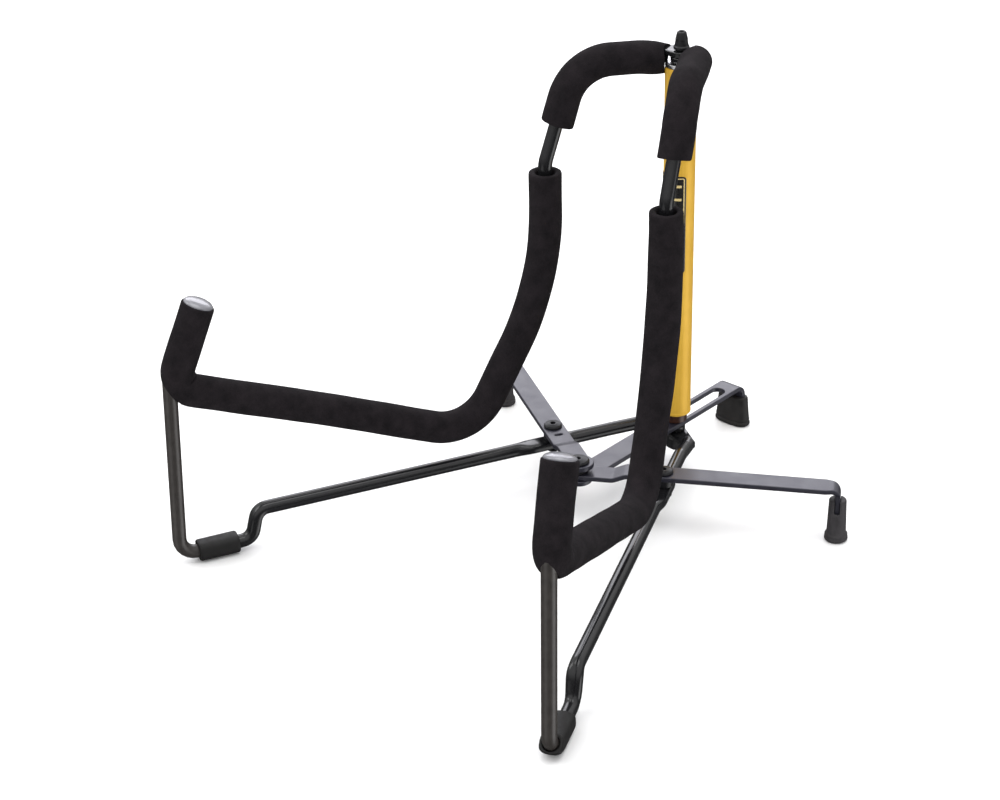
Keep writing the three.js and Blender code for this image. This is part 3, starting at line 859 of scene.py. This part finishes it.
def upper_foam(side):
    """Foam over the arch and shoulder, cut round so that it clears the hub."""
    corners = [(UPPER_FOAM_START, ARCH_Z - HUB_DROP[side]), UPPER_FOAM_CREST, SHOULDER, UPPER_FOAM_END]
    foam = foam_tube(f"{side}_upper_foam_tube", side, corners, None, UPPER_FOAM_SEED + SIGN[side])
    low, high = ARCH_Z - HUB_ROOM_REACH, ARCH_Z + HUB_ROOM_REACH
    hub = lathe("hub_room", [(0, low), (HUB_ROOM, low), (HUB_ROOM, high), (0, high)], count=72)
    return shade(carve(foam, hub), 50)


def lower_foam(side):
    corners = [(SIDE_R, LOWER_FOAM_TOP), *cradle(side)]
    foam = foam_tube(f"{side}_lower_foam_tube", side, corners, ELBOW, LOWER_FOAM_SEED + SIGN[side])
    return carve(foam, leg_slit(side))


def leg_slit(side):
    """Cutter for the inverted V in the foam that the leg comes out of."""
    bm = bmesh.new()
    edge = ((4.8, 66), (3.5, 76), (2.6, 81), (0.7, 86.5))
    other = [(-n, z) for n, z in reversed(edge)]
    outline = [other[-1], *edge, *other[:-1]]
    faces = []
    for depth in (-3.4, 9):
        r = LEG_TOP[0] + depth
        faces.append([bm.verts.new(place(side, r, FRAME_OFFSET + n, z)) for n, z in outline])
    count = len(outline)
    bm.faces.new(faces[0])
    bm.faces.new(list(reversed(faces[1])))
    for k in range(count):
        bm.faces.new((faces[0][(k + 1) % count], faces[0][k], faces[1][k], faces[1][(k + 1) % count]))
    return new_object("slit", bm)


def finger_cap(side):
    """Domed cap in the end of the finger's foam."""
    lean = Vector((FINGER_TIP[0] - ELBOW[0], FINGER_TIP[1] - ELBOW[1])).normalized()
    out = Vector((lean.y, -lean.x))

    def basis(p):
        r = FINGER_TIP[0] + lean.x * p.z + out.x * p.x
        z = FINGER_TIP[1] + lean.y * p.z + out.y * p.x
        return place(side, r, FRAME_OFFSET + p.y, z)

    rim = [(0, -1.2), (5.4, -1.2), (6.15, -0.2), (6.25, 0.5)]
    dome = [(5.6, 1.25), (4, 1.95), (2, 2.3), (0, 2.4)]
    return lathe(f"{side}_finger_dome", rim + dome, soft=0.5, basis=basis, angle=60)


def foot_sleeve(side):
    """Rubber sleeve round the wire on the floor. The right one has slid forward, into the leg's bend."""
    if side == "left":
        back, front = LEFT_SLEEVE_R
        path = bent([(back, FOOT_Z + 0.25), (front, FOOT_Z + 0.1)], 0.6)
    else:
        corner = (LEG_R - 0.2, FOOT_Z + 0.1, LEG_BEND - 0.2)
        path = bent([(RIGHT_SLEEVE_R, FOOT_Z + 0.1), corner, (LEG_R - 0.2, 14)], 0.5)
        path = [station for station in path if station[1].y < SLEEVE_END_STEEPNESS]
    total = path_length(path)

    def section(s, point, turn):
        edge = 1 - 0.07 * (1 - smoothstep(0, 0.7, min(s, total - s)))
        a, b = super_oval(SLEEVE_HALF_SIZE[0] * edge, SLEEVE_HALF_SIZE[1] * edge, 3.0, turn)
        if side == "left":
            b = max(b, 0.06 - FOOT_Z)
        return a, b

    sleeve = sweep("sleeve", side, path, section, 56)
    (start, start_way), (end, end_way) = path[0], path[-1]
    bore_path = [(start - start_way, start_way), *path[1:-1], (end + end_way, end_way)]
    bore = sweep("bore", side, bore_path,
                 lambda s, p, turn: (SLEEVE_BORE * math.cos(turn), SLEEVE_BORE * math.sin(turn)), 40)
    carve(sleeve, bore)
    sleeve.name = f"{side}_rubber_sleeve"
    return moulded(sleeve, 0.3, 3)


def pan_head(name, centre, low, radius, bar_radius, foot, foot_radius, recess=1.3):
    """Rivet or screw: tail below, shank, and a domed head with a six-sided recess."""
    flare = foot_radius * 0.75
    tail = [(0, foot - 1.3), (flare, foot - 1.3), (foot_radius, foot - 0.6), (foot_radius, foot)]
    shank = [(bar_radius, foot), (bar_radius, low)]
    dome = [(radius, low), (radius, low + 0.5), (radius * 0.86, low + 1.15), (recess + 0.5, low + 1.55)]
    socket = [(recess, low + 1.5, 1), (recess * 0.92, low + 0.45, 1), (0, low + 0.35)]
    profile = tail + shank + dome + socket
    return lathe(name, profile, centre, 0.18)


def washer(name, centre, bore, radius, low, high):
    middle = (low + high) / 2
    profile = [(bore, middle), (bore, low), (radius, low), (radius, high), (bore, high), (bore, middle)]
    return ring_lathe(name, profile, centre)


for side in SIDES:
    body = f"{side}_frame"
    pivot = plan(side, STRUT_PIVOT_R, FRAME_OFFSET)
    finished(yoke_wire(side), body, "black", [f"{side}_yoke_rod", f"{side}_cradle_rod"])
    finished(leg_wire(side), body, "leg", [f"{side}_leg_rod"])
    finished(base_wire(side), body, "black", [f"{side}_base_rod"])
    for make, node in ((upper_foam, "upper_foam"), (lower_foam, "lower_foam")):
        foam = finished(make(side), body, "foam", [f"{side}_{node}"])
    finished(finger_cap(side), body, "bright", [f"{side}_finger_cap"], "cap")
    finished(foot_sleeve(side), body, "rubber", [f"{side}_foot_sleeve"], "sleeve")
    head = STRUT_Z + BAR_THICKNESS + 0.15
    rivet = pan_head(f"{side}_strut_screw", pivot, head, 4.1, 2, BASE_Z - 2.35, 3.6)
    finished(rivet, body, "satin", [f"{side}_strut_rivet"], "head")
    spacer = washer(f"{side}_strut_bush", pivot, 2.15, 4.2, BASE_Z + 2.25, STRUT_Z - 0.15)
    finished(spacer, body, "plastic", [f"{side}_strut_spacer"])


# ---- braces

def bent_strap(name, splines, side_line, thickness, edge, to_world):
    """A flat plate, cut from closed outlines over its developed length, then bent along a side line."""
    bm = outline_plate(name, splines, thickness, edge)
    path = bent(side_line, STRAP_STEP)
    lengths = [0.0]
    for (a, _), (b, _) in zip(path, path[1:]):
        lengths.append(lengths[-1] + (b - a).length)
    start = side_line[0][0]
    for i in range(1, len(path) - 1):
        turning = path[i - 1][1].dot(path[i + 1][1]) < 0.99999
        if turning or i % 8 == 0:
            sliced(bm, start + lengths[i])
    for v in bm.verts:
        s = v.co.x - start
        i = max(k for k in range(len(lengths)) if lengths[k] <= max(s, 0) + 1e-9)
        i = min(i, len(path) - 2)
        point, direction = path[i]
        ahead, next_direction = path[i + 1]
        t = (s - lengths[i]) / (lengths[i + 1] - lengths[i])
        here = point.lerp(ahead, t)
        along = direction.lerp(next_direction, clamp01(t)).normalized()
        flat = here + Vector((-along.y, along.x)) * v.co.z
        v.co = to_world(flat.x, v.co.y, flat.y)
    return weighted(shade(new_object(name, bm), 40))


def strap_outline(nose, wide, edge):
    """A strap's flat outline: a round nose about the origin and the same edge (s, w) along both sides."""
    lean = math.degrees(math.asin(wide / nose))
    outline = arc((0, 0), nose, lean, 360 - lean, 32)
    return outline + [Vector((s, -w)) for s, w in edge] + [Vector((s, w)) for s, w in reversed(edge)]


pivot_x, pivot_y = plan("right", STRUT_PIVOT_R, FRAME_OFFSET)
strut_direction = Vector((pivot_x, pivot_y - FRONT_PIVOT_Y))
strut_pivot_s = strut_direction.length
strut_direction.normalize()
strut_end_s = STRUT_REACH / strut_direction.x


def along_strut(side, s, w, z):
    """A point of a strut, s along it from the front pivot and w across it. The left one is askew."""
    askew = Matrix.Rotation(-STRUT_ASKEW[side], 2) @ Vector((s - strut_pivot_s, w))
    s, w = askew.x + strut_pivot_s, askew.y
    x = s * strut_direction.x - w * strut_direction.y
    y = FRONT_PIVOT_Y + s * strut_direction.y + w * strut_direction.x
    return mm(SIGN[side] * x, y, z)


def along_slide(s, w, z):
    """A point of the slide bar, which also sits a little askew on the front pivot."""
    x, y = Matrix.Rotation(SLIDE_ASKEW, 2) @ Vector((-w, s))
    return mm(x, FRONT_PIVOT_Y + y, z)


def strut(side, step_z, nose, eye):
    """Flat bar from the front pin, stepped to the rivet's level and turned down into its boot."""
    half = BAR_THICKNESS / 2
    start = -nose - 1
    step_start, step_end = STRUT_STEP_S
    step = [(step_start, step_z + half, 5), (step_end, STRUT_Z + half, 5)]
    line = [(start, step_z + half), *step, (strut_end_s, STRUT_Z + half, 3), (strut_end_s, TANG_FOOT_Z)]
    end = start + path_length(bent(line, STRAP_STEP))
    wide = STRUT_WIDTH / 2
    tang = TANG_WIDTH / 2
    taper = end - (STRUT_Z - TANG_FOOT_Z) - 5
    edge = [(taper, wide), (taper + 4, wide - 1), (taper + 7, tang), (end - 1, tang), (end, tang - 1)]
    outlines = [strap_outline(nose, wide, edge), circle((0, 0), eye), circle((strut_pivot_s, 0), 2.25)]
    if side == "left":
        outlines.append(oblong((strut_pivot_s - 8, 0), 1.9, 0.75))
    return bent_strap(f"{side}_flat_strut", outlines, line, BAR_THICKNESS, 0.4,
                      lambda s, w, z: along_strut(side, s, w, z))


def oblong(centre, reach, radius):
    """Slot outline across a strap."""
    x, y = centre
    upper = arc((x, y + reach - radius), radius, 0, 180, 10)
    lower = arc((x, y - reach + radius), radius, 180, 360, 10)
    return upper + lower


def slide_bar():
    """Slotted flat bar from the front pin, over the hub bolt, turned down into its boot."""
    half = BAR_THICKNESS / 2
    rear = SLIDE_REAR_Y - FRONT_PIVOT_Y - half
    start = -SLIDE_NOSE - 1
    line = [(start, SLIDE_Z + half), (rear, SLIDE_Z + half, 4.6), (rear, TANG_FOOT_Z)]
    end = start + path_length(bent(line, STRAP_STEP))
    wide = SLIDE_WIDTH / 2
    outline = strap_outline(SLIDE_NOSE, wide, [(end - 1.5, wide), (end, wide - 1.5)])
    slot_half = SLOT_WIDTH / 2
    front = SLOT_FRONT_Y - FRONT_PIVOT_Y
    back = SLOT_REAR_Y - FRONT_PIVOT_Y - slot_half
    slot = arc((back, 0), slot_half, -90, 90, 18) + arc((front, 0), slot_half, 90, 270, 18)
    outlines = [outline, slot, circle((0, 0), 1.85)]
    return bent_strap("slotted_slide_bar", outlines, line, BAR_THICKNESS, 0.4, along_slide)


def strut_boot(side):
    """Tapered rubber tip with a flange at its foot and a slit that shows the strut's tang."""
    profile = [
        (0, 0), (4.7, 0), (5.05, 0.5), (5.0, 1.7), (4.75, 2.1), (4.75, 2.35), (4.95, 2.7), (4.4, 3.5),
        (4.15, 4.4), (3.75, BOOT_HEIGHT - 0.5), (3.4, BOOT_HEIGHT), (0, BOOT_HEIGHT),
    ]

    def basis(p):
        return along_strut(side, strut_end_s + p.x, p.y, p.z)

    body = lathe("boot", profile, soft=0.2, basis=basis)
    half = BAR_THICKNESS / 2 + 0.05
    wide = TANG_WIDTH / 2 + 0.3

    def slab(name, reach, low):
        return block(name, (strut_end_s - half, -reach, low), (strut_end_s + half, reach, BOOT_HEIGHT + 5),
                     lambda s, w, z: along_strut(side, s, w, z))

    carve(body, slab("pocket", wide, TANG_FOOT_Z - 0.5), slab("mouth", 10, BOOT_HEIGHT - 6))
    body.name = f"{side}_strut_tip"
    return moulded(body, 0.24, 3)


def slide_boot():
    """Oval rubber foot under the slide bar, flared towards the floor."""
    middle = SLIDE_REAR_Y - BAR_THICKNESS / 2 - FRONT_PIVOT_Y
    levels = [
        (0, 8.5, 4.2), (0.5, 8.9, 4.6), (1.6, 8.9, 4.6), (2.1, 8.4, 4.2), (2.4, 8.4, 4.2), (3.0, 8.7, 4.4),
        (4.2, 8.4, 4.2), (9, 8.0, 3.9), (SLIDE_BOOT_HEIGHT - 0.5, 7.6, 3.6), (SLIDE_BOOT_HEIGHT, 7.2, 3.2),
    ]
    loops = []
    for z, half_x, half_y in levels:
        ovals = [super_oval(half_x, half_y, 2.6, turn) for turn in turns(64)]
        loops.append([along_slide(middle + s, w + SLIDE_BOOT_SHIFT, z) for w, s in ovals])
    body = from_loops("slide_foot", loops)
    half = BAR_THICKNESS / 2 + 0.35
    wide = SLIDE_WIDTH / 2 + 0.2
    carve(
        body,
        block("pocket", (middle - half, -wide, TANG_FOOT_Z - 0.4), (middle + half, wide, 30), along_slide),
        block("mouth", (middle - half, -12, SLIDE_BOOT_HEIGHT - 2.4), (middle + half, 12, 30), along_slide),
    )
    return moulded(body, 0.26, 3)


for side, step_z, nose, eye in (("right", LOW_STEP_Z, 5.4, 1.85), ("left", HIGH_STEP_Z, 6.2, 3.75)):
    finished(strut(side, step_z, nose, eye), f"{side}_brace", "satin", [f"{side}_strut"])
    finished(strut_boot(side), f"{side}_brace", "rubber", [f"{side}_boot"], "tip")

front = (0, FRONT_PIVOT_Y)
pin_top = HIGH_STEP_Z + BAR_THICKNESS + 0.15
pin = pan_head("front_pivot_rivet", front, pin_top, 4.9, 1.5, SLIDE_Z - 0.3, 4.0, 1.2)
finished(pin, "right_brace", "black", ["front_pin"], "head")
spacer = washer("front_bush", front, 1.65, 4.6, LOW_STEP_Z + BAR_THICKNESS + 0.15, HIGH_STEP_Z - 0.15)
finished(spacer, "right_brace", "plastic", ["front_spacer"])
finished(slide_bar(), "slide", "satin", ["slide_bar"])
finished(slide_boot(), "slide", "rubber", ["slide_boot"])


# ---- column and hubs

def column_tube():
    """Drawn tube with a rolled lower edge."""
    low, high = COLUMN_Z
    middle = (low + high) / 2
    roll = 6.98
    profile = [
        (COLUMN_BORE, middle), (COLUMN_BORE, low), (6.5, low), (roll, low + 0.35), (roll, low + 1.3),
        (COLUMN_RADIUS, low + 1.7), (COLUMN_RADIUS, high - 0.6), (6.4, high), (COLUMN_BORE, high),
        (COLUMN_BORE, middle),
    ]
    return ring_lathe("amber_column_tube", profile, soft=0.3, count=96)


def label_film():
    """Thin film wrapped round the front of the column, with rounded corners."""
    low, high = LABEL_Z
    half_a = COLUMN_RADIUS * LABEL_SPREAD
    half_z = (high - low) / 2
    outline = []
    for sx, sz, start in ((1, 1, 0), (-1, 1, 90), (-1, -1, 180), (1, -1, 270)):
        centre = (sx * (half_a - LABEL_CORNER), sz * (half_z - LABEL_CORNER))
        outline += arc(centre, LABEL_CORNER, start, start + 90, 6)
    bm = outline_plate("film", [outline], 0.24, 0.06)
    cuts = 40
    for k in range(1, cuts):
        sliced(bm, -half_a + 2 * half_a * k / cuts)
    for v in bm.verts:
        turn = v.co.x / COLUMN_RADIUS
        radius = COLUMN_RADIUS + 0.14 + v.co.z
        v.co = mm(radius * math.sin(turn), -radius * math.cos(turn), (low + high) / 2 + v.co.y)
    return shade(new_object("column_label_film", bm), 50)


def top_ring():
    """Bright plug in the column's mouth, with a rim that shows."""
    high = COLUMN_Z[1]
    profile = [
        (BOLT_ROOM, high), (BOLT_ROOM, high - 11), (PLUG_RADIUS, high - 11), (PLUG_RADIUS, high + 0.25),
        (6.75, high + 0.25), (6.75, high + 1.8), (BOLT_ROOM, high + 1.8), (BOLT_ROOM, high),
    ]
    return ring_lathe("bright_top_ring", profile)


def pivot_pin():
    """Headed pin from inside the column up through both upper lugs into the cap."""
    high = COLUMN_Z[1]
    profile = [
        (0, high - 14), (3.4, high - 14), (3.4, high - 12.3), (2, high - 12.3), (2, CAP_Z + 3.4),
        (0, CAP_Z + 3.4),
    ]
    return lathe("upper_pivot_pin", profile)


def top_cap():
    """Tapered cap on the pin, with a collar at its foot, a step part way up and a dimple on top."""
    outline = [
        (0, 0.2), (3.1, 0.2), (3.4, 0.6), (3.35, 1.5), (2.95, 1.9), (2.6, 4.2), (2.65, 4.6), (2.0, 7.4),
        (1.6, 7.9), (1.1, 7.8), (0.9, 6.3), (0, 6.2),
    ]
    return lathe("tapered_top_cap", [(radius, CAP_Z + z) for radius, z in outline], soft=0.3)


def hex_nut():
    """Nut under the lower hub, with chamfered corners."""
    outline = [
        (2.1, 2, 0), (2.1, 0.5, 0), (2.6, 0, 0), (3.5, 0, 0.2),
        (4.04, 0.6, 1), (4.04, 4.4, 1), (3.5, 5, 0.2), (0, 5, 0),
    ]
    return lathe("hub_hex_nut", [(radius, NUT_Z + z, hexed) for radius, z, hexed in outline], soft=0.12)


def hub_bolt():
    """Bolt through the lower hub, with a visible thread at its end."""
    low = COLUMN_Z[0]
    bottom = NUT_Z - 1.4
    pitch = 0.7
    profile = [(0, bottom), (1.5, bottom)]
    z = bottom + 0.35
    while z < NUT_Z + 6:
        profile += [(1.98, z), (1.72, z + pitch / 2)]
        z += pitch
    profile += [(2, z + 0.3), (2, low + 12.3), (3.6, low + 12.3), (3.6, low + 14.5), (0, low + 14.5)]
    return lathe("hub_threaded_bolt", profile, soft=0.08)


low = COLUMN_Z[0]
finished(column_tube(), "column", "amber", ["column_tube"])
finished(label_film(), "column", "label", ["column_label"])
finished(top_ring(), "column", "bright", ["upper_plug"])
plug = washer("bottom_plug", (0, 0), BOLT_ROOM, PLUG_RADIUS, low + 0.3, low + 12)
finished(plug, "column", "plastic", ["lower_plug"])
finished(pivot_pin(), "column", "black", ["upper_hinge_pin"])
finished(top_cap(), "column", "plastic", ["top_cap"])
finished(hex_nut(), "column", "black", ["hub_nut"])
disc = washer("hub_flat_washer", (0, 0), 2.15, 4.6, NUT_Z + 5.25, LOWER_LUG_Z - 0.2)
finished(disc, "column", "satin", ["hub_washer"], "black")
# Black bush under the column; its red-brown colour is a painted reflection of the amber column.
bush = washer("hub_bush", (0, 0), 2.15, 5.3, SLIDE_Z + BAR_THICKNESS + 0.25, low - 0.1)
finished(bush, "column", "plastic", ["hub_collar"], "collar")
finished(hub_bolt(), "column", "black", ["hub_bolt"])


# ---- floor, light and camera

def floor():
    paint = Paint("floor_white", (0.88, 0.88, 0.88), 0.7, specular=0.2)
    paint.rough(paint.noise(3, 3, 0.5), 0.65, 0.75)
    bm = bmesh.new()
    bmesh.ops.create_grid(bm, x_segments=8, y_segments=8, size=12)
    obj = new_object("studio_floor", bm)
    obj.location.z = -FLOOR_DROP
    obj.data.materials.append(paint.material)
    obj.visible_glossy = False


def area_light(name, energy, size, position, target, colour=(1, 1, 1)):
    data = bpy.data.lights.new(name, "AREA")
    data.shape = "RECTANGLE"
    data.size, data.size_y = size
    data.energy = energy
    data.color = colour
    obj = bpy.data.objects.new(name, data)
    obj.location = position
    obj.rotation_euler = (Vector(target) - Vector(position)).to_track_quat("-Z", "Y").to_euler()
    obj.visible_camera = False
    bpy.context.scene.collection.objects.link(obj)


def sky():
    """A pale studio sky that darkens below the horizon, with soft streaks for the gloss to reflect."""
    world = bpy.data.worlds.new("studio")
    bpy.context.scene.world = world
    world.use_nodes = True
    nodes, links = world.node_tree.nodes, world.node_tree.links
    background = nodes["Background"]
    coords = nodes.new("ShaderNodeTexCoord")
    split = nodes.new("ShaderNodeSeparateXYZ")
    links.new(coords.outputs["Generated"], split.inputs[0])
    ramp = nodes.new("ShaderNodeValToRGB")
    lift = nodes.new("ShaderNodeMapRange")
    lift.inputs["From Min"].default_value = -1
    lift.inputs["From Max"].default_value = 1
    links.new(split.outputs["Z"], lift.inputs["Value"])
    links.new(lift.outputs["Result"], ramp.inputs["Fac"])
    stops = ramp.color_ramp.elements
    for position, _ in SKY[1:-1]:
        stops.new(position)
    for stop, (_, level) in zip(stops, SKY):
        stop.color = (level, level, level, 1)
    links.new(ramp.outputs["Color"], background.inputs["Color"])
    background.inputs["Strength"].default_value = SKY_STRENGTH
    streaks = nodes.new("ShaderNodeEmission")
    total = None
    for direction, level in STREAKS:
        dot = nodes.new("ShaderNodeVectorMath")
        dot.operation = "DOT_PRODUCT"
        dot.inputs[1].default_value = direction
        links.new(coords.outputs["Generated"], dot.inputs[0])
        patch = nodes.new("ShaderNodeMapRange")
        patch.interpolation_type = "SMOOTHSTEP"
        patch.inputs["From Min"].default_value, patch.inputs["From Max"].default_value = STREAK_EDGE
        patch.inputs["To Max"].default_value = level
        links.new(dot.outputs["Value"], patch.inputs["Value"])
        if total is None:
            total = patch.outputs["Result"]
        else:
            both = nodes.new("ShaderNodeMath")
            links.new(total, both.inputs[0])
            links.new(patch.outputs["Result"], both.inputs[1])
            total = both.outputs[0]
    links.new(total, streaks.inputs["Strength"])
    both = nodes.new("ShaderNodeAddShader")
    links.new(background.outputs[0], both.inputs[0])
    links.new(streaks.outputs[0], both.inputs[1])
    links.new(both.outputs[0], nodes["World Output"].inputs["Surface"])


def light():
    middle = (0, 0, 0.08)
    area_light("overhead", 9, (1.1, 1.1), (0.1, 0.0, 1.5), middle)
    area_light("key", 7, (0.7, 0.9), (-1.1, -0.9, 1.2), middle)
    area_light("back_wall", 16, (1.8, 0.9), (-1.15, 1.3, 0.95), (0, 0, 0.1), (0.93, 0.92, 1))


def camera():
    """Stands right of and above the front of the stand, as a product photographer would."""
    azimuth, elevation, roll = CAMERA_ANGLES
    back = Vector((
        math.sin(azimuth) * math.cos(elevation),
        -math.cos(azimuth) * math.cos(elevation),
        math.sin(elevation),
    ))
    level = (-back).cross(Vector((0, 0, 1))).normalized()
    upright = level.cross(-back)
    right = level * math.cos(roll) + upright * math.sin(roll)
    up = -level * math.sin(roll) + upright * math.cos(roll)
    data = bpy.data.cameras.new("camera")
    data.sensor_width = 36
    data.lens = CAMERA_LENS
    data.clip_start = 0.01
    obj = bpy.data.objects.new("camera", data)
    rotation = Matrix((right, up, back)).transposed()
    obj.matrix_world = Matrix.Translation(mm(*CAMERA_PLACE)) @ rotation.to_4x4()
    bpy.context.scene.collection.objects.link(obj)
    bpy.context.scene.camera = obj


floor()
sky()
light()
camera()
bpy.context.scene.view_settings.view_transform = "Standard"
